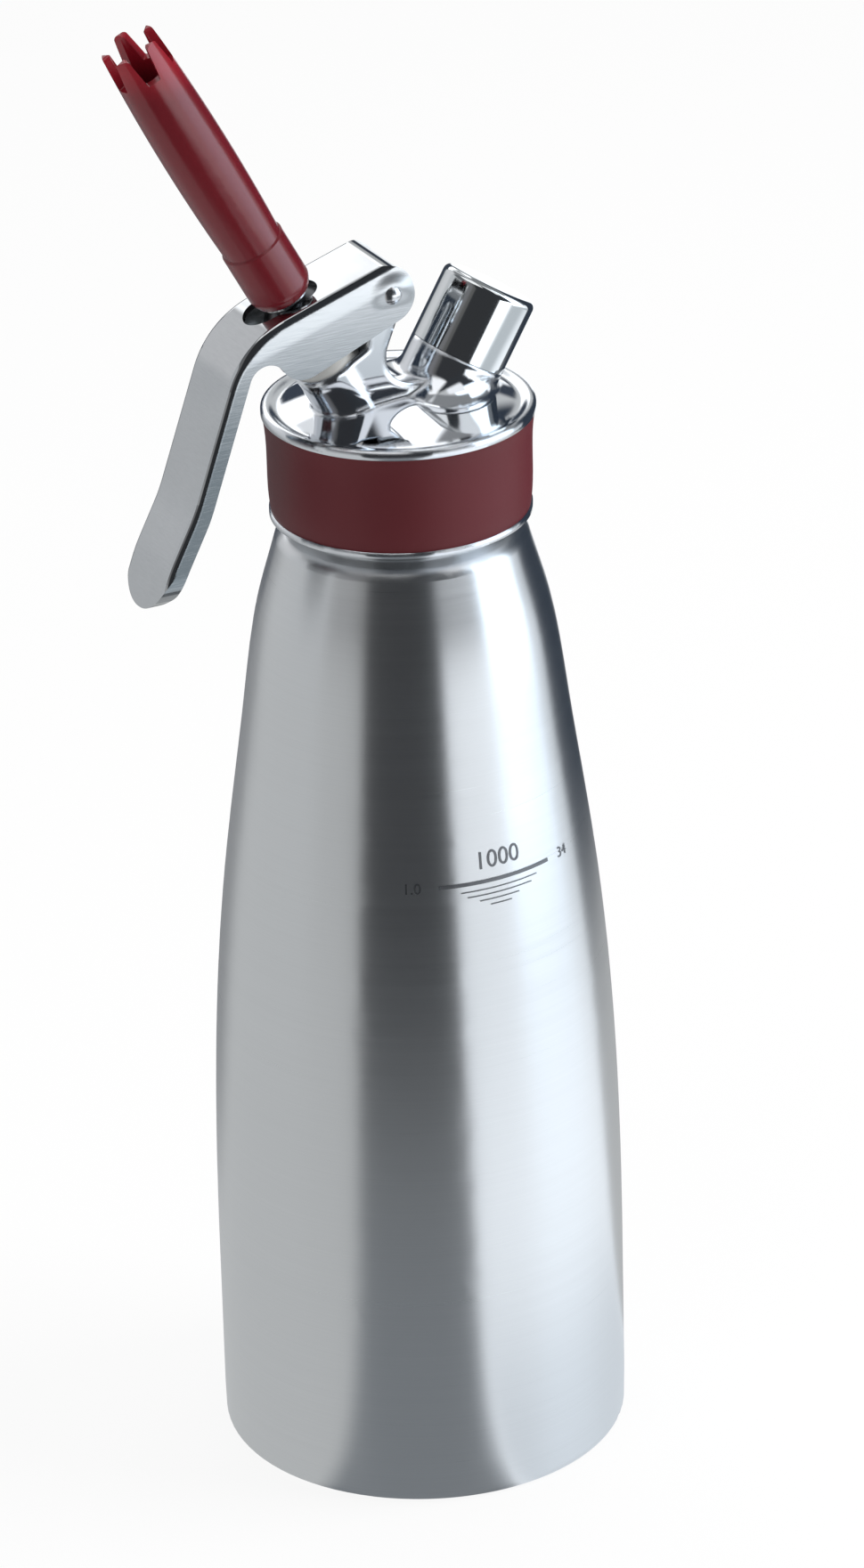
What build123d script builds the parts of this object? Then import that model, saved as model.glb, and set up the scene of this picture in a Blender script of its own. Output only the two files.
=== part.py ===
from build123d import *
from math import atan2, cos, radians, sin, sqrt
import os

# Whipped cream dispenser of one litre, in millimetres. +Z is up, and the origin is the centre of the ring
# that the bottle stands on. The lever and the nozzle lean towards -X and the charger port towards +X, all in
# the plane y = 0.

# Bottle: one drawn shell, straight below and narrowing to a shoulder.
body_radius = 48.0
base_taper = 0.2  # how far the wall is in from that at the corner of the foot
body_wall = 1.0
base_corner = 2.0
heel_height = 9.0  # where the foot's slight taper ends
foot_width = 3.8  # of the ring it stands on
base_recess = 2.0
recess_slope = 2.5
taper_start = 45.0
shoulder_radius = 30.1
shoulder_height = 224.0
shoulder_curve = [(0.25, 0.04), (0.56, 0.27), (0.80, 0.60), (0.95, 0.855)]  # share of height, share of drop
shoulder_cone = 5.2  # height from the end of the taper to the shoulder's corner
shoulder_lean = 0.28  # inward per unit of height there
shoulder_step = 2.0
shoulder_round = 4.0
neck_round = 1.1
neck_radius = 24.8
neck_height = 25.5  # of the neck's top above the shoulder

# Thread ring on the neck, and the gasket on its mouth.
ring_wall = 1.2
ring_height = 15.5
ring_edge = 0.4
gasket_inner = 21.8
gasket_thickness = 2.7
thread_gap = 0.3  # radial, between the ring and the head

# Head casting: skirt, bottom flange, domed plate and rim. Heights are counted from the neck's top or the
# plate's edge.
skirt_reach = 15.7  # of the skirt below the neck's top
plate_rise = 9.9  # of the plate's edge above the neck's top
flange_radius = 30.0
flange_height = 1.3
skirt_wall = 2.5
cavity_radius = 21.5
plate_crown = 4.6  # rise of the dome to its middle
plate_thickness = 3.2
rim_radius = 31.2
rim_drop = 1.3
rim_rise = 0.7
rim_crest_radius = 29.7
rim_round = 1.0
dish_radius = 27.2  # the dome starts here

# Silicone band: radii at its foot, just above it, at mid height and at its top.
band_foot_radius = 29.6
band_low_radius = 29.9
band_mid_radius = 30.15
band_top_radius = 31.0
band_foot_rise = 2.4

# Valve tube, slanted; distances along it are counted from the point where its axis meets the plate's top.
valve_tilt = 28.6
valve_foot_x = -10.33
tube_radius = 8.0
tube_height = 16.2
valve_bore = 5.0
gland_bore = 6.0
gland_depth = 10.0
seat_depth = 7.6  # the valve seat, below the plate's top
valve_boss_radius = 8.0

# Lug, web and pivot.
pivot_x = -5.4
pivot_rise = 30.2
pin_radius = 1.5
pin_head_radius = 2.15
pin_head_height = 1.0
lug_width = 15.2
lug_boss = 4.6
lug_offset = 7.9  # of its valve-side face from the valve's axis
lug_waist = 16.4
lug_back_x = -6.5
saddle_rise = 7.4
saddle_round = 7.0
washer_radius = 4.4
washer_thickness = 0.5

# Charger port; distances along it are counted from the point where its axis meets the plate's top.
port_tilt = 31.0
port_foot_x = 10.0
port_radius = 11.2
port_height = 10.3
port_bore = 8.0
port_floor = 5.0
gas_bore = 1.6

# Concave foot of the port, which spreads over the dome and into the web.
flare_x = 7.8
flare_lift = 1.6  # of the foot's middle above the plate's edge, under the dome all round
flare_lean = 6.0
flare_length = 26.0
flare_width = 38.4
flare_height = 8.2  # along the port
flare_steps = 5
flare_sink = 0.08  # of its upper edge below the port's wall

# Nipple, piercing pin and seals of the port.
nipple_radius = 9.5
nipple_height = 14.8
socket_radius = 4.7
socket_depth = 12.0
pin_base_radius = 3.0
pin_base_height = 3.0
needle_radius = 1.0
needle_point = 2.5
pin_gasket_thickness = 2.0
mushroom_radius = 4.5
mushroom_thickness = 1.0
mushroom_stem = 1.1
mushroom_stem_length = 3.0

# Port cap.
cap_length = 18.1
cap_wall = 1.3
cap_seam = 0.15
cap_crown = 0.5
cap_round = 1.8

# Lever: a channel pressed from sheet.
lever_width = 19.4
sheet = 1.4
lever_edge = 1.6
plate_slope = 17.9
lever_rise = 7.4  # outer face of the lever's plate above the pivot
end_reach = 5.34  # lever's end beyond the pivot
end_round = 6.3
bend_reach = 36.9  # from the pivot to the bend's corner
bend_radius = 22.5
handle_lean = 19.7
handle_length = 40.5
kink_lean = 27.7
kink_length = 14.0
kink_radius = 40.0
tip_lean = 20.0
tip_length = 11.0
tip_bend_radius = 40.0
tip_round = 9.4
flange_depth = 4.4
flange_end = 5.0  # where the flange starts to run out, from the tip
flange_end_round = 3.0
cheek_slope = 22.4
cheek_drop = 6.26
cheek_reach = 29.1
cheek_rise = 54.5  # slope of the cheek's edge between its heel and the throat
heel_round = 6.3
throat_round = 4.6
slot_length = 18.6
slot_width = 10.4
slot_shift = 1.8  # slot's middle, beyond the valve's axis
bend_sag = 2.0  # fall of the lever's plate over the slot, where it runs into the bend

# Valve stem, guide bush, spring and seals.
stem_radius = 4.0
stem_bore = 2.2
stem_plug = 1.0  # closed end below the bore
stem_reach = 10.4  # of the thread, above the lever's plate
collar_radius = 7.0
collar_thickness = 3.0
collar_dome = 12.0  # radius of its top
collar_gap = 0.1
cross_hole = 1.3
cross_hole_depth = 3.4
spigot_radius = 3.0
seal_radius = 6.6
seal_thickness = 2.4
retainer_radius = 5.4
retainer_thickness = 1.6
bush_radius = 7.4
bush_head = 3.0
bush_shank = 8.0
bush_edge = 0.5
o_ring_section = 0.85
spring_wire = 0.55
spring_radius = 5.15
spring_turns = 4.5

# Nozzle and its steel insert; distances are counted from the nozzle's foot.
nozzle_lift = 1.4  # of its foot above the lever's plate
nozzle_length = 73.5
nozzle_foot_radius = 6.4
nozzle_flare = 2.2  # height over which its foot widens
nozzle_flare_round = 3.0
nozzle_foot_round = 0.8
nozzle_grip_radius = 7.4
nozzle_grip = 15.2  # height of the foot's edge
nozzle_lip = 0.35
nozzle_waist_radius = 6.95
nozzle_belly_radius = 7.55
nozzle_belly = 39.0
nozzle_tip_radius = 6.5
nozzle_bore = 4.85
insert_radius = 5.2
insert_length = 12.0
insert_flange_radius = 5.8
insert_flange = 0.6
tooth_count = 5
tooth_depth = 7.7
tooth_gap_floor = 3.1
tooth_gap_mouth = 5.0
tooth_turn = -26.0
tooth_round = 0.9
tooth_root = 0.3

# Clearances.
slide_gap = 0.05  # radial, of a shaft in its bore
seat_gap = 0.1  # between faces that meet
fit_gap = 0.02  # radial, of pieces pressed or screwed together
past = 1.0  # how far a cut runs past the face that it opens
side_gap = 0.05  # of the lever's side view outside the faces that other solids give it
far = 150.0  # beyond any edge of the head


def turned(*outline):
    """Solid of revolution about Z from (radius, height) corners."""
    return revolve(make_face(Polyline(*[(r, 0, z) for r, z in outline], close=True)), Axis.Z)


def rod(radius, low, high):
    return Pos(0, 0, low) * Cylinder(radius, high - low, align=(Align.CENTER, Align.CENTER, Align.MIN))


def ring(inner, outer, low, high):
    return rod(outer, low, high) - rod(inner, low - past, high + past)


def side(outline, radii):
    """Face in the plane y = 0 from (x, z) corners, with a rounding for each."""
    return make_face(FilletPolyline(*[(x, 0, z) for x, z in outline], radius=radii, close=True))


def slab(face, width):
    return extrude(face, width / 2, dir=(0, 1, 0), both=True)


def cross_rod(radius, width):
    """Round bar along Y on the pivot's axis."""
    return Pos(pivot_x, 0, pivot_z) * Rot(90, 0, 0) * Cylinder(radius, width)


def above(height):
    """All that lies over a height near the head."""
    return Pos(0, 0, height) * Box(far, far, far, align=(Align.CENTER, Align.CENTER, Align.MIN))


# Heights of the neck and the head.
neck_top = shoulder_height + neck_height
ring_foot = neck_top - ring_height
head_bottom = neck_top - skirt_reach
plate_top = neck_top + plate_rise
roof_under = plate_top - plate_thickness
rim_under = plate_top - rim_drop
rim_crest = plate_top + rim_rise
pivot_z = plate_top + pivot_rise

# The slanted axes. A piece of the valve or the port is modelled upright on Z, then placed by its frame.
valve_up = Vector(-sin(radians(valve_tilt)), 0, cos(radians(valve_tilt)))
valve_out = Vector(cos(radians(valve_tilt)), 0, sin(radians(valve_tilt)))
valve_foot = Vector(valve_foot_x, 0, plate_top)
valve_frame = Location(Plane(valve_foot, x_dir=valve_out, z_dir=valve_up))
port_up = Vector(sin(radians(port_tilt)), 0, cos(radians(port_tilt)))
port_foot = Vector(port_foot_x, 0, plate_top)
port_frame = Location(Plane(port_foot, x_dir=Vector(0, 1, 0).cross(port_up), z_dir=port_up))
pivot = Vector(pivot_x, 0, pivot_z)

# The lever's plate: its normal, the way it runs from the pivot, and where the valve's axis passes it.
plate_normal = Vector(-sin(radians(plate_slope)), 0, cos(radians(plate_slope)))
plate_run = Vector(-cos(radians(plate_slope)), 0, -sin(radians(plate_slope)))
plate_meet = (lever_rise - plate_normal.dot(valve_foot - pivot)) / plate_normal.dot(valve_up)
plate_start = pivot + plate_normal * lever_rise
plate_tilt = radians(valve_tilt - plate_slope)

# Heights along the valve's axis that several pieces share.
gland_floor = tube_height - gland_depth
plate_under = plate_meet - sheet / cos(plate_tilt)
dome_reach = sqrt(collar_dome**2 - (slot_width / 2)**2) + collar_gap  # the slot's edges rest on the dome
dome_centre = plate_under - dome_reach / cos(plate_tilt)
collar_top = dome_centre + collar_dome
collar_under = collar_top - collar_thickness
bush_top = tube_height + bush_head
nozzle_foot = plate_meet + nozzle_lift
stem_top = plate_meet + stem_reach
port_top = port_height
cap_rim = port_height + cap_seam
nipple_top = port_height + nipple_height
ring_radius = neck_radius + ring_wall
bore_radius = ring_radius + thread_gap
skirt_radius = bore_radius + skirt_wall
gasket_top = neck_top + seat_gap + gasket_thickness


def bottle_skin(inset):
    """The bottle's outer form, filled, or its inner form when inset by the wall."""
    drop = body_radius - shoulder_radius
    rise = shoulder_height - taper_start
    taper = [(body_radius, taper_start)]
    taper += [(body_radius - drop * q, taper_start + rise * h) for h, q in shoulder_curve]
    taper += [(shoulder_radius, shoulder_height)]
    taper = [(r - inset, 0, z) for r, z in taper]
    corner = base_corner - inset / 2
    low, edge = inset, body_radius - base_taper - inset
    foot_radius = body_radius - base_taper - foot_width
    foot = FilletPolyline(
        (0, 0, base_recess + inset), (foot_radius - recess_slope, 0, base_recess + inset),
        (foot_radius, 0, low), (edge, 0, low), (body_radius - inset, 0, heel_height), taper[0],
        radius=[0, 0, corner, 0],
    )
    curve = Spline(*taper, tangents=[(0, 0, 1), (-shoulder_lean, 0, 1)])
    corner_z = shoulder_height + shoulder_cone - inset
    corner_r = shoulder_radius - shoulder_lean * (shoulder_cone - inset) - inset
    neck_r = neck_radius - inset
    cap = FilletPolyline(
        taper[-1], (corner_r, 0, corner_z), (neck_r, 0, corner_z + shoulder_step),
        (neck_r, 0, neck_top + inset), radius=[shoulder_round - inset, neck_round],
    )
    close = Polyline((neck_r, 0, neck_top + inset), (0, 0, neck_top + inset), (0, 0, base_recess + inset))
    return revolve(make_face([foot, curve, cap, close]), Axis.Z)


def make_bottle_shell():
    return bottle_skin(0) - bottle_skin(body_wall)


def make_neck_ring():
    body = ring(neck_radius + fit_gap, ring_radius, ring_foot, neck_top)
    return chamfer(body.edges().filter_by(GeomType.CIRCLE).sort_by(Axis.Z)[-1], ring_edge)


def make_head_gasket():
    return ring(gasket_inner, ring_radius, neck_top + seat_gap, gasket_top)


def head_shell():
    """Skirt, flange, plate and rim, turned about the bottle's axis, with the cup for the neck inside."""
    seat = gasket_top + seat_gap
    slope = 2 * atan2(plate_crown, dish_radius)
    outer = make_face([
        Polyline(
            (0, 0, roof_under), (cavity_radius, 0, roof_under), (cavity_radius, 0, seat),
            (bore_radius, 0, seat), (bore_radius, 0, head_bottom), (flange_radius, 0, head_bottom),
            (flange_radius, 0, head_bottom + flange_height), (skirt_radius, 0, head_bottom + flange_height),
            (skirt_radius, 0, rim_under), (rim_radius, 0, rim_under), (rim_radius, 0, rim_crest - rim_round),
        ),
        Spline(
            (rim_radius, 0, rim_crest - rim_round), (rim_crest_radius, 0, rim_crest),
            (dish_radius, 0, plate_top), tangents=[(0, 0, 1), (-1, 0, 0)],
        ),
        Spline(
            (dish_radius, 0, plate_top), (0, 0, plate_top + plate_crown),
            tangents=[(-cos(slope), 0, sin(slope)), (-1, 0, 0)],
        ),
        Line((0, 0, plate_top + plate_crown), (0, 0, roof_under)),
    ])
    return revolve(outer, Axis.Z)


def lug_and_web():
    """The web between the two tubes, which rises as a lug to the pivot pin."""
    root = roof_under + past
    saddle = plate_top + saddle_rise
    rim_point = valve_foot + valve_up * tube_height
    face_point = rim_point + valve_out * lug_offset
    outline = [
        (valve_foot.X, root), (valve_foot.X, plate_top), (rim_point.X, rim_point.Z),
        (face_point.X, face_point.Z), (pivot_x - lug_boss, pivot_z), (pivot_x + lug_boss, pivot_z),
        (lug_back_x, plate_top + lug_waist), (lug_back_x, saddle), (port_foot_x, saddle), (port_foot_x, root),
    ]
    web = slab(side(outline, [0, 0, 0, 0, 0, 0, lug_boss, saddle_round, 0, 0]), lug_width)
    return web + cross_rod(lug_boss, lug_width)


def port_flare():
    """Lofted from an ellipse on the dome to the port's own round near its top."""
    foot = Vector(flare_x, 0, plate_top + flare_lift)
    top = port_foot + port_up * flare_height
    neck = port_radius - flare_sink
    sections = []
    for step in range(flare_steps):
        turn = radians(90 * step / (flare_steps - 1))
        spread, climb = 1 - sin(turn), 1 - cos(turn)
        centre = Vector(top.X - (top.X - foot.X) * spread, 0, foot.Z + (top.Z - foot.Z) * climb)
        lean = radians(port_tilt - (port_tilt - flare_lean) * spread)
        level = Plane(centre, x_dir=(cos(lean), 0, -sin(lean)), z_dir=(sin(lean), 0, cos(lean)))
        sections.append(level * Ellipse(neck + (flare_length / 2 - neck) * spread,
                                        neck + (flare_width / 2 - neck) * spread))
    return loft(sections)


def make_head_body():
    root = plate_top - past
    channel = port_foot + port_up * port_floor
    tubes = valve_frame * rod(tube_radius, -plate_thickness, tube_height)
    tubes += port_frame * rod(port_radius, -plate_thickness, port_height)
    casting = head_shell() + (tubes & above(root)) + lug_and_web() + port_flare()
    casting += valve_frame * rod(valve_boss_radius, -seat_depth, plate_thickness) - above(root)
    casting -= valve_frame * rod(valve_bore, -seat_depth - plate_thickness, tube_height)
    casting -= valve_frame * rod(gland_bore, gland_floor, tube_height + past)
    casting -= port_frame * rod(port_bore, port_floor, port_height + past)
    casting -= Pos(channel.X, 0, 0) * rod(gas_bore, roof_under - past, channel.Z + past)
    return casting - cross_rod(pin_radius + slide_gap, lug_width + past)


def make_grip_band():
    low = head_bottom + flange_height
    middle = (low + rim_under) / 2
    outline = [
        Polyline((band_top_radius, 0, rim_under), (skirt_radius, 0, rim_under), (skirt_radius, 0, low),
                 (band_foot_radius, 0, low)),
        Spline((band_foot_radius, 0, low), (band_low_radius, 0, low + band_foot_rise),
               (band_mid_radius, 0, middle), (band_top_radius, 0, rim_under)),
    ]
    return revolve(make_face(outline), Axis.Z)


def make_guide_bush():
    body = rod(bush_radius, tube_height, bush_top)
    body += rod(gland_bore - fit_gap, tube_height - bush_shank, tube_height)
    body -= rod(stem_radius + slide_gap, 0, bush_top + past)
    body = chamfer(body.edges().filter_by(GeomType.CIRCLE).sort_by(Axis.Z)[-1], bush_edge)
    return valve_frame * body


def make_stem_o_ring():
    centre = stem_radius + slide_gap + o_ring_section
    return valve_frame * Pos(0, 0, gland_floor + seat_gap + o_ring_section) * Torus(centre, o_ring_section)


def make_valve_spring():
    low, high = bush_top + seat_gap + spring_wire, collar_under - seat_gap - spring_wire
    path = Helix((high - low) / spring_turns, high - low, spring_radius)
    section = Plane(path @ 0, z_dir=path % 0) * RegularPolygon(spring_wire, 6)
    return valve_frame * Pos(0, 0, low) * sweep(section, path, is_frenet=True)


def make_valve_stem():
    """Hollow stem with its domed collar, which the lever presses; the foot carries the valve seal."""
    foot = -seat_depth - seat_gap
    body = rod(stem_radius, foot, stem_top)
    body += rod(collar_radius, collar_under, collar_top) & (Pos(0, 0, dome_centre) * Sphere(collar_dome))
    body += rod(spigot_radius, foot - seal_thickness - retainer_thickness, foot)
    body -= rod(stem_bore, foot + stem_plug, stem_top + past)
    body -= Pos(0, 0, -cross_hole_depth) * Rot(90, 0, 0) * Cylinder(cross_hole, 3 * stem_radius)
    return valve_frame * body


def make_valve_seal():
    top = -seat_depth - seat_gap
    return valve_frame * ring(spigot_radius + fit_gap, seal_radius, top - seal_thickness, top)


def make_seal_retainer():
    top = -seat_depth - seat_gap - seal_thickness
    return valve_frame * ring(spigot_radius + fit_gap, retainer_radius, top - retainer_thickness, top)


def make_nozzle_insert():
    low = nozzle_foot - insert_flange
    body = rod(insert_radius, low, nozzle_foot + insert_length) + rod(insert_flange_radius, low, nozzle_foot)
    return valve_frame * (body - rod(stem_radius + slide_gap, low - past, nozzle_foot + insert_length + past))


def tooth_gap():
    """Face of the gap between two teeth, upright in the plane x = 0; its mouth rounds the teeth's tips."""
    floor = nozzle_length - tooth_depth
    half = tooth_gap_mouth / 2
    wide = half + 2 * tooth_round
    corners = [
        (0, -wide, nozzle_length + past), (0, -wide, nozzle_length), (0, -half, nozzle_length),
        (0, -tooth_gap_floor / 2, floor), (0, tooth_gap_floor / 2, floor), (0, half, nozzle_length),
        (0, wide, nozzle_length), (0, wide, nozzle_length + past),
    ]
    radii = [0, 0, tooth_round, tooth_root, tooth_root, tooth_round, 0, 0]
    return make_face(FilletPolyline(*corners, radius=radii, close=True))


def make_nozzle_tip():
    seat = insert_length + seat_gap
    bore = insert_radius + slide_gap
    outline = [
        FilletPolyline((bore, 0, 0), (nozzle_foot_radius, 0, 0), (nozzle_grip_radius, 0, nozzle_flare),
                       (nozzle_grip_radius, 0, nozzle_grip), radius=[nozzle_foot_round, nozzle_flare_round]),
        Polyline((nozzle_grip_radius, 0, nozzle_grip), (nozzle_waist_radius, 0, nozzle_grip + nozzle_lip)),
        Spline((nozzle_waist_radius, 0, nozzle_grip + nozzle_lip), (nozzle_belly_radius, 0, nozzle_belly),
               (nozzle_tip_radius, 0, nozzle_length)),
        Polyline((nozzle_tip_radius, 0, nozzle_length), (nozzle_bore, 0, nozzle_length),
                 (nozzle_bore, 0, seat), (bore, 0, seat), (bore, 0, 0)),
    ]
    body = revolve(make_face(outline), Axis.Z)
    cutter = extrude(tooth_gap(), 2 * nozzle_tip_radius, dir=(1, 0, 0))
    for i in range(tooth_count):
        body -= Rot(0, 0, tooth_turn + 360 / tooth_count * i) * cutter
    return valve_frame * Pos(0, 0, nozzle_foot) * body


def make_port_nipple():
    low = port_floor + seat_gap
    body = rod(port_bore - fit_gap, low, port_top) + rod(nipple_radius, port_top, nipple_top)
    body -= rod(socket_radius, nipple_top - socket_depth, nipple_top + past)
    body -= rod(pin_base_radius + fit_gap, low - past, low + pin_base_height + seat_gap)
    body -= rod(needle_radius + fit_gap, low, nipple_top)
    return port_frame * body


def make_piercing_pin():
    low = port_floor + seat_gap
    shoulder = low + pin_base_height
    point = nipple_top - socket_depth + pin_gasket_thickness + needle_point
    return port_frame * turned(
        (0, low), (pin_base_radius, low), (pin_base_radius, shoulder), (needle_radius, shoulder),
        (needle_radius, point), (0, point + needle_point),
    )


def make_pin_gasket():
    floor = nipple_top - socket_depth
    top = floor + pin_gasket_thickness
    return port_frame * ring(needle_radius + fit_gap, socket_radius - fit_gap, floor, top)


def make_check_valve():
    channel = port_foot + port_up * port_floor
    top = roof_under - seat_gap
    low = top - mushroom_thickness
    body = rod(mushroom_radius, low, top) + rod(mushroom_stem, low, top + mushroom_stem_length)
    return Pos(channel.X, 0, 0) * body


def make_port_cap():
    top = cap_rim + cap_length
    inner = port_radius - cap_wall
    skin = FilletPolyline(
        (inner, 0, cap_rim), (port_radius, 0, cap_rim), (port_radius, 0, top - cap_crown),
        (0, 0, top), radius=[0, cap_round],
    )
    close = Polyline((0, 0, top), (0, 0, top - cap_wall - cap_crown), (inner, 0, top - cap_wall - cap_crown),
                     (inner, 0, cap_rim))
    return port_frame * revolve(make_face([skin, close]), Axis.Z)


def make_cap_seal():
    low = nipple_top + seat_gap
    high = cap_rim + cap_length - cap_wall - cap_crown - seat_gap
    return port_frame * rod(nipple_radius, low, high)


def heading(lean):
    """Unit step down the handle, leaning out from the vertical by an angle."""
    return Vector(-sin(radians(lean)), 0, -cos(radians(lean)))


def inward(lean):
    return Vector(cos(radians(lean)), 0, -sin(radians(lean)))


def meet(a, a_way, b, b_way):
    """Where two lines in the plane y = 0 cross, each given by a point and a direction."""
    cross = a_way.X * b_way.Z - a_way.Z * b_way.X
    gap = b - a
    return a + a_way * ((gap.X * b_way.Z - gap.Z * b_way.X) / cross)


def lever_line(inset):
    """Corners of the lever's outer face from the bend to the tip, moved inward by inset."""
    bend = plate_start + plate_run * bend_reach
    kink = bend + heading(handle_lean) * handle_length
    curl = kink + heading(kink_lean) * kink_length
    tip = curl + heading(tip_lean) * tip_length
    top = plate_start - plate_normal * inset
    back = bend + inward(handle_lean) * inset
    low = kink + inward(kink_lean) * inset
    last = curl + inward(tip_lean) * inset
    return [
        meet(top, plate_run, back, heading(handle_lean)),
        meet(back, heading(handle_lean), low, heading(kink_lean)),
        meet(low, heading(kink_lean), last, heading(tip_lean)),
        tip + inward(tip_lean) * inset,
    ]


def lever_side():
    """The lever seen from the side, cheeks and flanges included."""
    bend, kink, curl, tip = lever_line(-side_gap)
    tip_out = tip + heading(tip_lean) * past
    edge = Vector(-cos(radians(cheek_slope)), 0, -sin(radians(cheek_slope)))
    edge_start = pivot + Vector(sin(radians(cheek_slope)), 0, -cos(radians(cheek_slope))) * cheek_drop
    end_top = plate_start - plate_run * end_reach + plate_normal * side_gap
    end_low = meet(end_top, plate_normal, edge_start, edge)
    heel = edge_start + edge * cheek_reach
    climb = Vector(-cos(radians(cheek_rise)), 0, sin(radians(cheek_rise)))
    inner_bend, inner_kink, inner_curl, inner_tip = lever_line(flange_depth)
    throat = meet(heel, climb, inner_bend, heading(handle_lean))
    flange_stop = inner_tip - heading(tip_lean) * flange_end
    corners = [
        end_top, bend, kink, curl, tip_out, tip_out + inward(tip_lean) * sheet, flange_stop, inner_curl,
        inner_kink, throat, heel, end_low,
    ]
    radii = [
        end_round, bend_radius, kink_radius, tip_bend_radius, 0, 0, flange_end_round,
        tip_bend_radius - flange_depth, kink_radius - flange_depth, throat_round, heel_round, end_round,
    ]
    return side([(c.X, c.Z) for c in corners], radii)


def lever_bar(inset):
    """All that lies behind the lever's outer face, moved in by inset, and between its cheeks."""
    line = lever_line(inset)
    start = plate_start - plate_normal * inset - plate_run * far
    low = line[-1].Z - lever_width
    corners = [start] + line + [Vector(line[-1].X, 0, low), Vector(start.X, 0, low)]
    radii = [0, bend_radius - inset, kink_radius - inset, tip_bend_radius - inset, 0, 0, 0]
    return slab(side([(c.X, c.Z) for c in corners], radii), lever_width - 2 * inset)


def lever_front(inset):
    """The lever's round-ended front view, moved in by inset and extended along X."""
    reach = pivot_z - lever_line(0)[-1].Z - inset
    plan = RectangleRounded(lever_width - 2 * inset, 2 * reach, tip_round - inset)
    return Pos(0, 0, pivot_z) * extrude(Plane.YZ * plan, far, both=True)


def make_lever():
    bar = lever_bar(0)
    front = [f for f in bar.faces() if f.normal_at().dot(Vector(-1, 0, 1)) > 0.5]
    rims = [e for f in front for e in f.edges() if abs(e.center().Y) > lever_width / 2 - sheet]
    body = slab(lever_side(), lever_width) & fillet(rims, lever_edge) & lever_front(0)
    body -= lever_bar(sheet) & lever_front(sheet)
    valve_reach = (valve_foot + valve_up * plate_meet - plate_start).dot(plate_run)
    middle = plate_start + plate_run * (valve_reach + slot_shift)
    slot = extrude(SlotOverall(slot_length, slot_width), 2 * bend_sag, both=True)
    body -= Location(Plane(middle, x_dir=plate_run, z_dir=plate_normal)) * slot
    return body - cross_rod(pin_radius + fit_gap, lever_width + past)


def make_pivot_pin():
    half = lever_width / 2
    dome_radius = (pin_head_radius**2 + pin_head_height**2) / (2 * pin_head_height)
    ball = Pos(0, 0, half + pin_head_height - dome_radius) * Sphere(dome_radius)
    head = ball & rod(pin_head_radius, half, half + pin_head_height)
    pin = Cylinder(pin_radius, lever_width) + head + mirror(head, Plane.XY)
    return Pos(pivot_x, 0, pivot_z) * Rot(90, 0, 0) * pin


def make_pivot_washers():
    middle = (lug_width / 2 + lever_width / 2 - sheet) / 2
    half = washer_thickness / 2
    place = Pos(pivot_x, 0, pivot_z) * Rot(90, 0, 0)
    washers = [ring(pin_radius + slide_gap, washer_radius, y - half, y + half) for y in (-middle, middle)]
    return Compound(children=[place * washer for washer in washers])


nodes = {
    "bottle_shell": make_bottle_shell,
    "neck_ring": make_neck_ring,
    "head_gasket": make_head_gasket,
    "head_body": make_head_body,
    "grip_band": make_grip_band,
    "guide_bush": make_guide_bush,
    "stem_o_ring": make_stem_o_ring,
    "valve_spring": make_valve_spring,
    "valve_stem": make_valve_stem,
    "valve_seal": make_valve_seal,
    "seal_retainer": make_seal_retainer,
    "nozzle_insert": make_nozzle_insert,
    "nozzle_tip": make_nozzle_tip,
    "port_nipple": make_port_nipple,
    "piercing_pin": make_piercing_pin,
    "pin_gasket": make_pin_gasket,
    "check_valve": make_check_valve,
    "port_cap": make_port_cap,
    "cap_seal": make_cap_seal,
    "lever": make_lever,
    "pivot_pin": make_pivot_pin,
    "pivot_washers": make_pivot_washers,
}

os.makedirs("parts", exist_ok=True)
for name, make in nodes.items():
    export_step(make(), f"parts/{name}.step")
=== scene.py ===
import bpy
from math import atan2, cos, degrees, radians, sin
from mathutils import Matrix, Vector


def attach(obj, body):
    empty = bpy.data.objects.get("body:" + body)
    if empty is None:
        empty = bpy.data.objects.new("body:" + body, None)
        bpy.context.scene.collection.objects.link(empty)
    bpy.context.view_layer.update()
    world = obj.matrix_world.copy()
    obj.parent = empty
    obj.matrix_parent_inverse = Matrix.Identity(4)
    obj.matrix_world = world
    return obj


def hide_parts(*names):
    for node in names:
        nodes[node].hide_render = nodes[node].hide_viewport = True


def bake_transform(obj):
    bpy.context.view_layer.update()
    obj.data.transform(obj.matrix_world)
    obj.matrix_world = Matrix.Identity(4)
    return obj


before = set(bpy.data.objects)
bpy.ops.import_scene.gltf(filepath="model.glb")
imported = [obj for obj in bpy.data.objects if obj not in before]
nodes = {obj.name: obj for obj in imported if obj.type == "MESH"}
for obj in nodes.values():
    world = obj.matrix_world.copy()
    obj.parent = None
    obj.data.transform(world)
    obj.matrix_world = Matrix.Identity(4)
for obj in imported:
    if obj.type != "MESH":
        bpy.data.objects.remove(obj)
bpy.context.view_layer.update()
print("frame loaded:", len(nodes), "nodes")


class Wire:  # a value on its way through a material
    def __init__(self, finish, socket):
        self.finish, self.socket = finish, socket

    def calc(self, operation, first, second):
        return self.finish.node("ShaderNodeMath", {"operation": operation}, {0: first, 1: second})

    def __add__(self, other):
        return self.calc("ADD", self, other)

    def __radd__(self, other):
        return self.calc("ADD", other, self)

    def __sub__(self, other):
        return self.calc("SUBTRACT", self, other)

    def __rsub__(self, other):
        return self.calc("SUBTRACT", other, self)

    def __mul__(self, other):
        return self.calc("MULTIPLY", self, other)

    def __rmul__(self, other):
        return self.calc("MULTIPLY", other, self)


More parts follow.
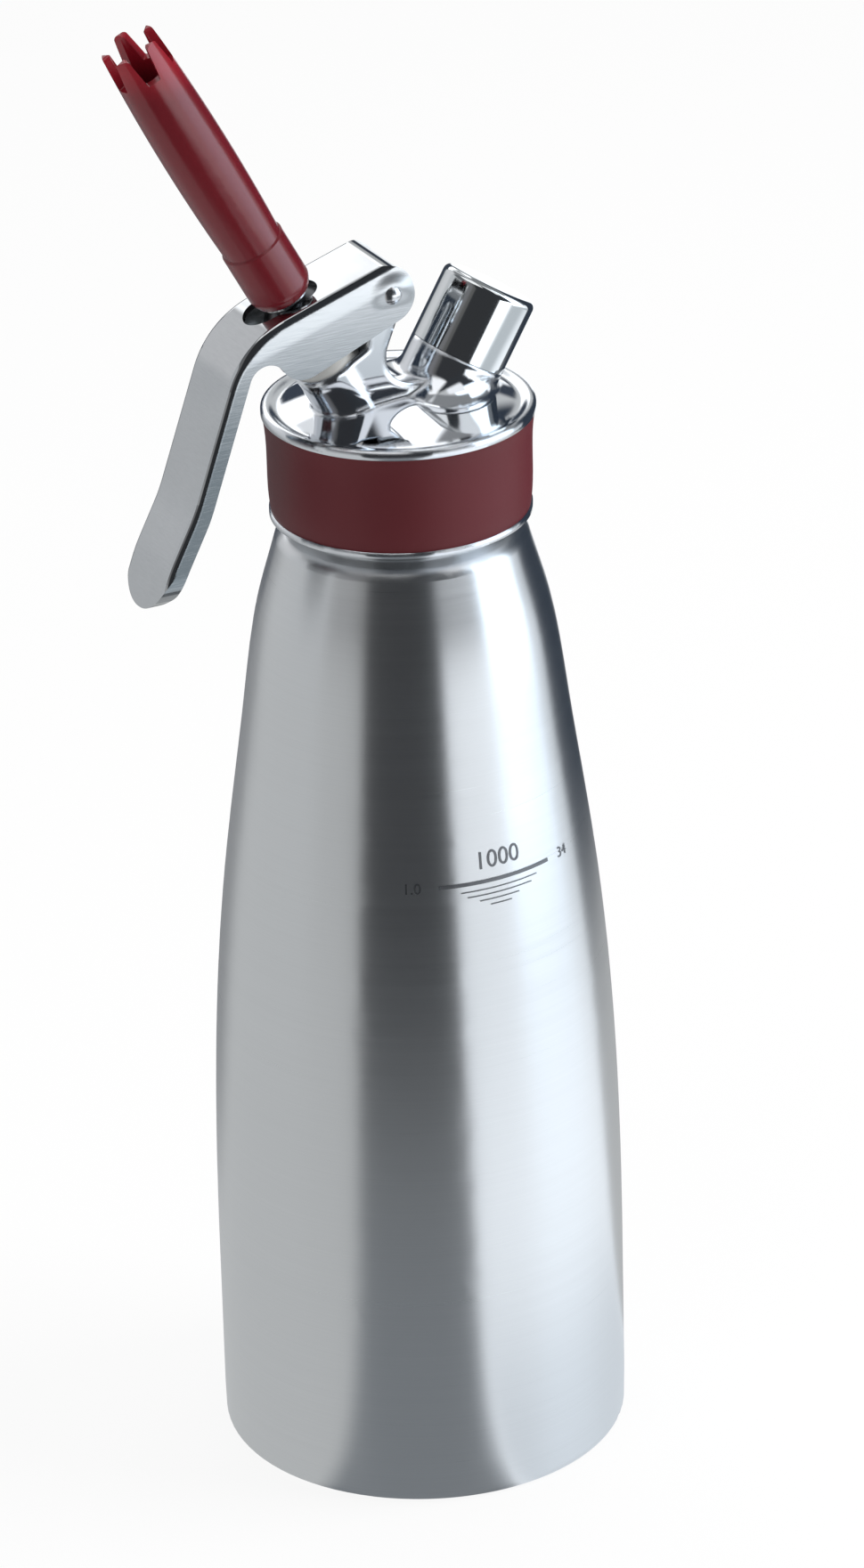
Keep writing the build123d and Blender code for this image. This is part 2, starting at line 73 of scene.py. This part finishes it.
class Finish:  # one material, built from the node that is asked for
    def __init__(self, name, tree=None):
        if tree is None:
            self.material = bpy.data.materials.new(name)
            self.material.use_nodes = True
            tree = self.material.node_tree
        self.tree = tree
        tree.nodes.clear()

    def node(self, kind, settings=None, sockets=None, out=0):
        made = self.tree.nodes.new(kind)
        for key, value in (settings or {}).items():
            setattr(made, key, value)
        for key, value in (sockets or {}).items():
            if isinstance(value, Wire):
                self.tree.links.new(value.socket, made.inputs[key])
            else:
                made.inputs[key].default_value = value
        return Wire(self, made.outputs[out]) if made.outputs else made

    def grain(self, stretch, detail, rough, turn=(0, 0, 0)):  # stretch is one number, or one along each axis
        where = self.node("ShaderNodeTexCoord", out="Object")
        scale = stretch if isinstance(stretch, tuple) else (stretch,) * 3
        placed = self.node("ShaderNodeMapping", {}, {"Vector": where, "Scale": scale, "Rotation": turn})
        return self.node("ShaderNodeTexNoise", {}, {"Vector": placed, "Scale": 1.0, "Detail": detail,
                                                    "Roughness": rough})

    def between(self, value, low, high):  # 0 below low and 1 above high
        return self.node("ShaderNodeMapRange", {"interpolation_type": "SMOOTHSTEP"},
                         {"Value": value, "From Min": low, "From Max": high})

    def along(self, axes, kind="Object"):  # a point's coordinates, or those of its normal
        where = self.node("ShaderNodeTexCoord", out=kind)
        return [self.node("ShaderNodeSeparateXYZ", {}, {0: where}, out=axis) for axis in axes]

    def height(self, low, high):  # both in metres above the table
        return self.between(*self.along("Z"), low, high)

    def tint(self, factor, dull, bright):  # each end is a colour, or a wire that carries one
        ends = [end if isinstance(end, Wire) else (*end, 1) for end in (dull, bright)]
        return self.node("ShaderNodeMix", {"data_type": "RGBA"}, {0: factor, 6: ends[0], 7: ends[1]}, out=2)

    def bump(self, field, strength, distance, **below):
        return self.node("ShaderNodeBump", {},
                         {"Height": field, "Strength": strength, "Distance": distance, **below})

    def surface(self, **sockets):
        named = {key.replace("_", " "): value for key, value in sockets.items()}
        skin = self.node("ShaderNodeBsdfPrincipled", {}, named)
        self.node("ShaderNodeOutputMaterial", {}, {"Surface": skin})
        return self.material


bottleLook = {
    "dull": (0.66, 0.67, 0.68), "bright": (0.76, 0.77, 0.78),
    "lines": (14, 14, 5200),     # brushing runs round the bottle
    "bands": (9, 9, 620),
    "cloud": 18,
    "shares": (0.6, 0.3, 0.1),   # of the lines, the bands and the cloud
    "roughness": 0.30, "spread": 0.16, "anisotropy": 0.78, "quarterTurn": 0.25,
    "relief": (0.22, 0.00002),
}


def brushedSteel():
    look = bottleLook
    finish = Finish("bottleSteel")
    lines = finish.grain(look["lines"], 4, 0.6)
    bands = finish.grain(look["bands"], 2, 0.5)
    cloud = finish.grain(look["cloud"], 2, 0.5)
    fine, broad, soft = look["shares"]
    streak = lines * fine + bands * broad + cloud * soft
    return finish.surface(
        Base_Color=finish.tint(streak, look["dull"], look["bright"]), Metallic=1.0,
        Roughness=look["roughness"] + (streak - 0.5) * look["spread"],
        Anisotropic=look["anisotropy"], Anisotropic_Rotation=look["quarterTurn"],
        Normal=finish.bump(lines, *look["relief"]))


castLook = {
    "shade": (0.77, 0.79, 0.82), "dull": (0.74, 0.76, 0.79),
    "roughness": 0.035, "haze": 40, "smear": 0.03, "peel": 70, "relief": (0.06, 0.0001),
    "round": 0.0022, "samples": 8,   # the casting's edges and corners are soft
}


def castChrome():
    look = castLook
    finish = Finish("headChrome")
    haze = finish.grain(look["haze"], 4, 0.6)
    peel = finish.grain(look["peel"], 2, 0.5)
    soft = finish.node("ShaderNodeBevel", {"samples": look["samples"]}, {"Radius": look["round"]})
    return finish.surface(
        Base_Color=finish.tint(haze, look["dull"], look["shade"]), Metallic=1.0,
        Roughness=look["roughness"] + haze * look["smear"],
        Normal=finish.bump(peel, *look["relief"], Normal=soft))


def dimmed(shade, share):
    return tuple(share * part for part in shade)


capLook = {
    "shade": (0.74, 0.76, 0.77), "dim": 0.97, "roughness": 0.06, "haze": 40, "peel": 160,
    "relief": (0.05, 0.00005),
}


def capChrome():
    look = capLook
    finish = Finish("capChrome")
    haze = finish.grain(look["haze"], 4, 0.6)
    peel = finish.grain(look["peel"], 2, 0.5)
    return finish.surface(
        Base_Color=finish.tint(haze, dimmed(look["shade"], look["dim"]), look["shade"]), Metallic=1.0,
        Roughness=look["roughness"] + haze * look["roughness"], Normal=finish.bump(peel, *look["relief"]))


leverLook = {
    "polished": 0.06, "satin": 0.24,
    "low": 0.262, "high": 0.276,   # the plate is polished above this
    "paintedShadeHeights": (0.252, 0.306), "ground": (0.20, 0.225, 0.24),   # painted shade: below these heights the handle's cheeks are tinted towards this darker colour, for the darker surroundings they mirror
    "cheek": (0.88, 0.97), "edge": (0.10, 0.22),   # share of the normal that points sideways
    "dull": (0.50, 0.51, 0.52), "bright": (0.64, 0.65, 0.66),
    "lines": (160, 300, 2600), "tilt": 18, "swell": (45, 45, 70), "cloud": 60,
    # painted shade: the least depth of the cheeks' darkening, and how much more the brushing lines add
    "paintedShadeDepth": (0.55, 0.9), "scuff": (0.08, 0.05), "scratch": 0.1, "relief": (0.30, 0.00050),
    "slope": 17.9, "fold": (0.2786, 0.2838), "foldRise": 2.2,   # the cheek rounds over into the plate
    "round": (0.10, 0.97),   # share of the normal that points sideways, across the rounded edge
    "pivot": (-0.0054, 0.2896), "boss": (0.0022, 0.0062), "bossRise": 4.0,   # raised a little over the pin
    "bossFoot": (-0.0030, 0.0018),   # height from the pin's middle
}


def leverSteel():
    look = leverLook
    finish = Finish("leverSteel")
    lines = finish.grain(look["lines"], 3, 0.55, (0, radians(look["tilt"]), 0))
    cloud = finish.grain(look["cloud"], 3, 0.5)
    aslant, = finish.along("Y", "Normal")
    sideways = finish.node("ShaderNodeMath", {"operation": "ABSOLUTE"}, {0: aslant})
    swell = finish.grain(look["swell"], 1, 0.4)
    cheek = finish.between(sideways, *look["cheek"])
    edge = finish.between(sideways, *look["edge"])
    plate = finish.height(look["low"], look["high"])
    polish = finish.node("ShaderNodeMath", {"operation": "MAXIMUM"}, {0: plate, 1: edge}) * (1 - cheek)
    x, z = finish.along("XZ")
    slope = radians(look["slope"])
    fold = finish.between(z * cos(slope) - x * sin(slope), *look["fold"])
    aside, up = x - look["pivot"][0], z - look["pivot"][1]
    away = finish.node("ShaderNodeMath", {"operation": "SQRT"}, {0: aside * aside + up * up})
    boss = (1 - finish.between(away, *look["boss"])) * finish.between(up, *look["bossFoot"]) * cheek
    form = boss * look["bossRise"] - fold * look["foldRise"] * finish.between(sideways, *look["round"])
    rough = look["satin"] + (look["polished"] - look["satin"]) * polish
    # painted shade: the lower cheeks are darkened towards the darker colour, for the darker surroundings they
    # mirror, more along the brushing lines
    least, streaks = look["paintedShadeDepth"]
    paintedCheekShade = cheek * (1 - finish.height(*look["paintedShadeHeights"])) * (least + lines * streaks)
    shade = finish.tint(cloud * 0.5 + lines * 0.5, look["dull"], look["bright"])
    fine, broad = look["scuff"]
    return finish.surface(
        Base_Color=finish.tint(paintedCheekShade, shade, look["ground"]), Metallic=1.0,
        Roughness=rough + (lines - 0.5) * fine + (cloud - 0.5) * broad,
        Normal=finish.bump(lines * cheek * look["scratch"] + swell + form, *look["relief"]))


metalLook = {"grain": 300, "dim": 0.9, "spread": 0.1, "relief": (0.08, 0.00003)}
mouldedLook = {"cloud": 45, "dim": 0.86, "spread": (0.08, 0.06), "depth": 0.00004}


def metal(name, shade, roughness):
    look = metalLook
    finish = Finish(name)
    field = finish.grain(look["grain"], 3, 0.5)
    return finish.surface(
        Base_Color=finish.tint(field, dimmed(shade, look["dim"]), shade), Metallic=1.0,
        Roughness=roughness + (field - 0.5) * look["spread"], Normal=finish.bump(field, *look["relief"]))


def moulded(name, shade, roughness, scale=900, strength=0.08, shine=0.5, glow=None):
    look = mouldedLook
    finish = Finish(name)
    field = finish.grain(scale, 3, 0.6)
    cloud = finish.grain(look["cloud"], 3, 0.5)
    colour = finish.tint(cloud, dimmed(shade, look["dim"]), shade)
    if glow:   # painted light: above this height the thin teeth are tinted a lighter red, for light shining through the plastic
        low, high, lit = glow
        colour = finish.tint(finish.height(low, high), colour, lit)
    fine, broad = look["spread"]
    return finish.surface(
        Base_Color=colour,
        Roughness=roughness + (field - 0.5) * fine + (cloud - 0.5) * broad,
        Specular_IOR_Level=shine, Normal=finish.bump(field, strength, look["depth"]))


finishes = {
    "bottle_shell": brushedSteel(),
    "neck_ring": metal("neckSteel", (0.66, 0.665, 0.67), 0.14),
    "head_body": castChrome(),
    "port_cap": capChrome(),
    "lever": leverSteel(),
    "pivot_pin": metal("pinSteel", (0.70, 0.70, 0.71), 0.24),
    # the stem is near black, far darker than the other steel parts; it shows through the lever's slot
    "valve_stem": metal("stemSteel", (0.13, 0.13, 0.135), 0.35),
    "nozzle_insert": metal("insertSteel", (0.66, 0.66, 0.67), 0.16),
    "port_nipple": metal("nippleSteel", (0.62, 0.62, 0.63), 0.20),
    "piercing_pin": metal("piercingSteel", (0.55, 0.55, 0.56), 0.20),
    "seal_retainer": metal("retainerSteel", (0.58, 0.58, 0.59), 0.25),
    "valve_spring": metal("springSteel", (0.42, 0.42, 0.42), 0.30),
    # the nozzle's teeth get a painted lighter red above 0.343-0.353 m, for light shining through them
    "nozzle_tip": moulded("nozzleRed", (0.150, 0.0085, 0.0150), 0.20, shine=0.50,
                           glow=(0.343, 0.353, (0.260, 0.0100, 0.0190))),
    "grip_band": moulded("bandRed", (0.110, 0.0100, 0.0150), 0.50, 1400, 0.16, shine=0.35),
    "guide_bush": moulded("bushPale", (0.62, 0.62, 0.60), 0.38),
    "pivot_washers": moulded("washerPale", (0.60, 0.60, 0.58), 0.40),
    "head_gasket": moulded("gasketGrey", (0.45, 0.45, 0.44), 0.50),
    "stem_o_ring": moulded("ringBlack", (0.020, 0.020, 0.021), 0.45),
    "valve_seal": moulded("sealBlack", (0.022, 0.022, 0.022), 0.50),
    "pin_gasket": moulded("gasketBlack", (0.022, 0.022, 0.022), 0.50),
    "check_valve": moulded("valveBlack", (0.024, 0.024, 0.024), 0.50),
    "cap_seal": moulded("capSealBlack", (0.022, 0.022, 0.022), 0.50),
}
for name, finish in finishes.items():
    nodes[name].data.materials.clear()
    nodes[name].data.materials.append(finish)
print("finishes on", len(finishes), "nodes")


levelMark = {
    "height": 0.1573, "thick": 0.00088, "span": (-108.4, -68.4),
    "lines": (   # height, and from and to in degrees
        (0.1554, -101.4, -73.9), (0.1541, -99.6, -76.7),
        (0.1528, -95.6, -81.4), (0.1515, -92.0, -84.6),
    ),
    "thin": 0.00024,
    "numbers": (   # what it says, degrees, height and size
        ("1000", -88.2, 0.1622, 0.0060),
        ("1.0", -117.0, 0.1573, 0.0036),
        ("34", -61.0, 0.1573, 0.0036),
    ),
    "radius": 0.0419, "steps": 720, "stand": 0.00012, "lineCuts": 2, "numberCuts": 5,
    "ink": (0.185, 0.188, 0.196), "roughness": 0.45,
}


def clearSelection():
    if bpy.context.object and bpy.context.object.mode != "OBJECT":
        bpy.ops.object.mode_set(mode="OBJECT")
    bpy.ops.object.select_all(action="DESELECT")


def layOnBottle(piece):
    wrap = piece.modifiers.new("lay", "SHRINKWRAP")
    wrap.target = nodes["bottle_shell"]
    wrap.wrap_method = "NEAREST_SURFACEPOINT"
    wrap.wrap_mode = "OUTSIDE_SURFACE"
    wrap.offset = levelMark["stand"]
    bpy.ops.object.modifier_apply(modifier="lay")


def ringLine(height, thick, start, stop):
    mark = levelMark
    clearSelection()
    bpy.ops.mesh.primitive_cylinder_add(vertices=mark["steps"], radius=mark["radius"], depth=thick,
                                        end_fill_type="NOTHING", location=(0, 0, height))
    line = bpy.context.object
    bpy.context.tool_settings.mesh_select_mode = (False, False, True)   # faces
    for face in line.data.polygons:
        turn = degrees(atan2(face.center.y, face.center.x))
        face.select = not start <= turn <= stop
    bpy.ops.object.mode_set(mode="EDIT")
    bpy.ops.mesh.delete(type="FACE")
    bpy.ops.mesh.select_all(action="SELECT")
    bpy.ops.mesh.subdivide(number_cuts=mark["lineCuts"])
    bpy.ops.object.mode_set(mode="OBJECT")
    bpy.ops.object.transform_apply(location=True, rotation=True, scale=True)
    layOnBottle(line)
    return line


def number(text, turn, height, size):
    mark = levelMark
    clearSelection()
    bpy.ops.object.text_add()
    word = bpy.context.object
    word.data.body = text
    word.data.size = size
    word.data.align_x = "CENTER"
    word.data.align_y = "CENTER"
    bpy.ops.object.convert(target="MESH")
    word = bpy.context.object
    bpy.ops.object.mode_set(mode="EDIT")
    bpy.ops.mesh.select_all(action="SELECT")
    bpy.ops.mesh.quads_convert_to_tris(quad_method="BEAUTY", ngon_method="BEAUTY")
    bpy.ops.mesh.subdivide(number_cuts=mark["numberCuts"])
    bpy.ops.object.mode_set(mode="OBJECT")
    out = radians(turn)
    place = Matrix.Translation((mark["radius"] * cos(out), mark["radius"] * sin(out), height))
    upright = Matrix.Rotation(out + radians(90), 4, "Z") @ Matrix.Rotation(radians(90), 4, "X")
    word.matrix_world = place @ upright
    bpy.ops.object.transform_apply(location=True, rotation=True, scale=True)
    layOnBottle(word)
    return word


def makeLevelMark():
    mark = levelMark
    parts = [ringLine(mark["height"], mark["thick"], *mark["span"])]
    parts += [ringLine(height, mark["thin"], start, stop) for height, start, stop in mark["lines"]]
    parts += [number(*row) for row in mark["numbers"]]
    clearSelection()
    for part in parts:
        part.select_set(True)
    bpy.context.view_layer.objects.active = parts[0]
    bpy.ops.object.join()
    whole = bpy.context.object
    whole.name = "level_mark"
    whole.data.materials.clear()
    whole.data.materials.append(metal("markEtch", mark["ink"], mark["roughness"]))
    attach(whole, "bottle")


makeLevelMark()
print("level mark laid on the bottle")


springCoil = {
    "foot": (-0.01033, 0, 0.2594), "tilt": -28.6,   # where the valve's axis meets the plate, and its slant
    "low": 0.01985, "high": 0.031053, "radius": 0.00515, "wire": 0.00055,
    "winds": 5, "turn": 324.0,   # four and a half turns in five steps of 324 degrees
    "steps": 30, "sides": 12,
}


def makeSpring():   # a coil wound on the valve's axis, in place of the solid spring, which is hidden
    coil = springCoil
    clearSelection()
    bpy.ops.mesh.primitive_circle_add(vertices=coil["sides"], radius=coil["wire"],
                                      rotation=(radians(90), 0, 0), location=(coil["radius"], 0, coil["low"]))
    spring = bpy.context.object
    bpy.ops.object.transform_apply(location=True, rotation=True, scale=True)
    wind = spring.modifiers.new("wind", "SCREW")
    wind.axis = "Z"
    wind.angle = radians(coil["turn"])
    wind.iterations = coil["winds"]
    wind.screw_offset = (coil["high"] - coil["low"]) / coil["winds"]
    wind.steps = wind.render_steps = coil["steps"]
    bpy.ops.object.modifier_apply(modifier="wind")
    bpy.ops.object.mode_set(mode="EDIT")
    bpy.ops.mesh.select_all(action="SELECT")
    bpy.ops.mesh.fill_holes(sides=coil["sides"])
    bpy.ops.mesh.normals_make_consistent(inside=False)
    bpy.ops.object.mode_set(mode="OBJECT")
    bpy.ops.object.shade_smooth()
    place = Matrix.Translation(coil["foot"]) @ Matrix.Rotation(radians(coil["tilt"]), 4, "Y")
    spring.matrix_world = place
    bpy.ops.object.transform_apply(location=True, rotation=True, scale=True)
    spring.name = "spring_coil"
    spring.data.materials.append(finishes["valve_spring"])
    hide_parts("valve_spring")
    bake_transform(spring)


makeSpring()
print("spring wound")


studio = {
    "floor": 8.0, "floorShade": (0.95, 0.95, 0.95), "lift": 0.88,
    "world": 0.42,
    "lamps": (   # azimuth from the front, elevation, distance, width, height, watts
        ("key", 62, 34, 1.5, 0.9, 1.2, 17.0),
        ("fill", -60, 30, 1.5, 0.9, 1.2, 4.2),
        ("top", 150, 68, 1.6, 1.2, 1.2, 7.0),
    ),
    "middle": (0, 0, 0.17),
    "dome": 3.0, "segments": 64, "rings": 32, "mat": 0.0004,
    "eye": 0.12, "ground": (0.60, 0.615, 0.62),   # height that the cards' angles are seen from
    "cards": (   # from and to in degrees about the table, low and high, shade, softness; later ones cover
        (64, 112, -34, 8, (0.30, 0.31, 0.32), 10.0),
        (100, 181, -3, 32, (0.62, 0.64, 0.66), 4.0),
        (100, 181, 32, 58, (0.16, 0.17, 0.18), 4.0),
        (-181, -154, 8, 60, (0.20, 0.20, 0.21), 4.0),
        (-157, -120, 6, 60, (0.13, 0.13, 0.13), 3.0),
        (-148, -90, -24, 66, (0.040, 0.042, 0.046), 2.0),
        (-148, -90, -91, -26, (0.25, 0.27, 0.29), 5.0),
        (-90, 2, -91, 0, (1.20, 1.26, 1.32), 2.0),
        (-90, 2, -91, -44, (0.82, 0.88, 0.94), 8.0),
        (-90, -50, -9, 0, (2.00, 2.08, 2.16), 1.5),
        (-90, 2, -16, -9, (0.62, 0.67, 0.71), 1.5),
        (-52, -12, -6, 62, (2.30, 2.65, 3.00), 2.5),
        (-10, 4, 0, 40, (0.22, 0.24, 0.26), 3.0),
        (-28, 130, 40, 91, (0.27, 0.28, 0.29), 2.0),
        (2, 46, -18, 38, (0.038, 0.050, 0.070), 2.0),
        (46, 97, -10, 20, (0.050, 0.062, 0.085), 2.0),
        (46, 62, -12, 10, (1.20, 1.24, 1.28), 2.0),
        (66, 97, 20, 37, (1.90, 1.93, 1.96), 2.0),
        (97, 128, 8, 40, (0.75, 0.76, 0.78), 5.0),
        (49, 66, 40, 61, (1.70, 1.74, 1.78), 1.5),
        (69, 76, 37, 52, (0.045, 0.055, 0.070), 1.5),
        (77, 92, 36, 91, (0.90, 0.92, 0.94), 1.5),
        (130, 181, 58, 91, (1.20, 1.21, 1.22), 3.0),
        (-181, -100, 62, 91, (1.20, 1.21, 1.22), 3.0),
        (-72, -36, 41, 74, (1.10, 1.12, 1.15), 3.0),
        (-100, -70, 1, 91, (0.040, 0.044, 0.050), 2.0),
        (-72, -52, 1, 41, (0.045, 0.050, 0.060), 2.0),
    ),
}


def direction(azimuth, elevation):
    turn, up = radians(azimuth), radians(elevation)
    return Vector((sin(turn) * cos(up), -cos(turn) * cos(up), sin(up)))


def softbox(name, azimuth, elevation, distance, width, height, watts):
    data = bpy.data.lights.new(name, "AREA")
    data.shape = "RECTANGLE"
    data.size, data.size_y = width, height
    data.energy = watts
    lamp = bpy.data.objects.new(name, data)
    bpy.context.scene.collection.objects.link(lamp)
    back = direction(azimuth, elevation)
    lamp.location = Vector(studio["middle"]) + back * distance
    lamp.rotation_euler = (-back).to_track_quat("-Z", "Y").to_euler()
    lamp.visible_glossy = False   # mirrors see the cards instead


def seen(finish):  # 1 where a camera, a mirror or glass looks, 0 where light only spreads
    ways = [finish.node("ShaderNodeLightPath", out=way)
            for way in ("Is Camera Ray", "Is Glossy Ray", "Is Transmission Ray")]
    return finish.node("ShaderNodeMath", {"operation": "MAXIMUM"}, {0: ways[0], 1: ways[1] + ways[2]})


def makeFloor():
    clearSelection()
    bpy.ops.mesh.primitive_plane_add(size=studio["floor"], location=(0, 0, 0))
    floor = bpy.context.object
    floor.name = "floor"
    finish = Finish("floorWhite")
    matt = finish.node("ShaderNodeBsdfDiffuse", {}, {"Color": (*studio["floorShade"], 1)})
    glow = finish.node("ShaderNodeEmission", {}, {"Color": (1, 1, 1, 1), "Strength": 1.0})
    skin = finish.node("ShaderNodeMixShader", {}, {0: seen(finish) * studio["lift"], 1: matt, 2: glow})
    finish.node("ShaderNodeOutputMaterial", {}, {"Surface": skin})
    floor.data.materials.append(finish.material)


def makeWorld():
    world = bpy.data.worlds.new("studio")
    bpy.context.scene.world = world
    world.use_nodes = True
    air = Finish("studio", world.node_tree)
    white = air.node("ShaderNodeBackground", {}, {"Color": (1, 1, 1, 1), "Strength": 1.0})
    fill = air.node("ShaderNodeBackground", {}, {"Color": (1, 1, 1, 1), "Strength": studio["world"]})
    both = air.node("ShaderNodeMixShader", {}, {0: seen(air), 1: fill, 2: white})
    air.node("ShaderNodeOutputWorld", {}, {"Surface": both})


def makeCards():  # white and dark cards round the table, which only mirrors see
    clearSelection()
    bpy.ops.mesh.primitive_uv_sphere_add(segments=studio["segments"], ring_count=studio["rings"],
                                         radius=studio["dome"])
    cards = bpy.context.object
    clearSelection()
    bpy.ops.mesh.primitive_circle_add(vertices=studio["segments"], radius=studio["dome"],
                                      fill_type="NGON", location=(0, 0, studio["mat"]))
    mat = bpy.context.object
    cards.select_set(True)
    mat.select_set(True)
    bpy.context.view_layer.objects.active = cards
    bpy.ops.object.join()
    cards.name = "cards"
    finish = Finish("cardShades")
    x, y, z = finish.along("XYZ")
    around = finish.node("ShaderNodeMath", {"operation": "ARCTAN2"}, {0: y, 1: x}) * degrees(1)
    level = finish.node("ShaderNodeMath", {"operation": "SQRT"}, {0: x * x + y * y})
    rise = finish.node("ShaderNodeMath", {"operation": "ARCTAN2"}, {0: z - studio["eye"], 1: level})
    above = rise * degrees(1)
    shade = studio["ground"]
    for start, stop, low, high, colour, soft in studio["cards"]:
        sides = [finish.between(around, at - soft, at + soft) for at in (start, stop)]
        ends = [finish.between(above, at - soft, at + soft) for at in (low, high)]
        inside = (sides[0] - sides[1]) * (ends[0] - ends[1])
        shade = finish.tint(inside, shade, colour)
    glow = finish.node("ShaderNodeEmission", {}, {"Color": shade, "Strength": 1.0})
    finish.node("ShaderNodeOutputMaterial", {}, {"Surface": glow})
    cards.data.materials.append(finish.material)
    cards.visible_camera = cards.visible_diffuse = cards.visible_shadow = False
    cards.visible_transmission = cards.visible_volume_scatter = False


makeFloor()
makeWorld()
makeCards()
for lamp in studio["lamps"]:
    softbox(*lamp)
print("studio lit by", len(studio["lamps"]), "lamps")


view = {
    "azimuth": -27.0, "elevation": 25.23283, "distance": 1.649, "aim": 0.16405,
    "turn": 0.18719603, "roll": -1.58069368, "lens": 163.609, "sensor": 36.0,
}


def makeCamera():
    back = direction(view["azimuth"], view["elevation"])
    right = Vector((cos(radians(view["azimuth"])), sin(radians(view["azimuth"])), 0))
    up = right.cross(-back)
    turn, roll = radians(view["turn"]), radians(view["roll"])
    ahead = -back * cos(turn) + right * sin(turn)
    side = right * cos(turn) + back * sin(turn)
    level = side * cos(roll) + up * sin(roll)
    top = up * cos(roll) - side * sin(roll)
    data = bpy.data.cameras.new("camera")
    data.sensor_width, data.lens = view["sensor"], view["lens"]
    camera = bpy.data.objects.new("camera", data)
    bpy.context.scene.collection.objects.link(camera)
    camera.matrix_world = Matrix.Translation(Vector((0, 0, view["aim"])) + back * view["distance"]) \
        @ Matrix((level, top, -ahead)).transposed().to_4x4()
    bpy.context.scene.camera = camera


makeCamera()
bpy.context.scene.view_settings.view_transform = "Standard"
print("camera set")
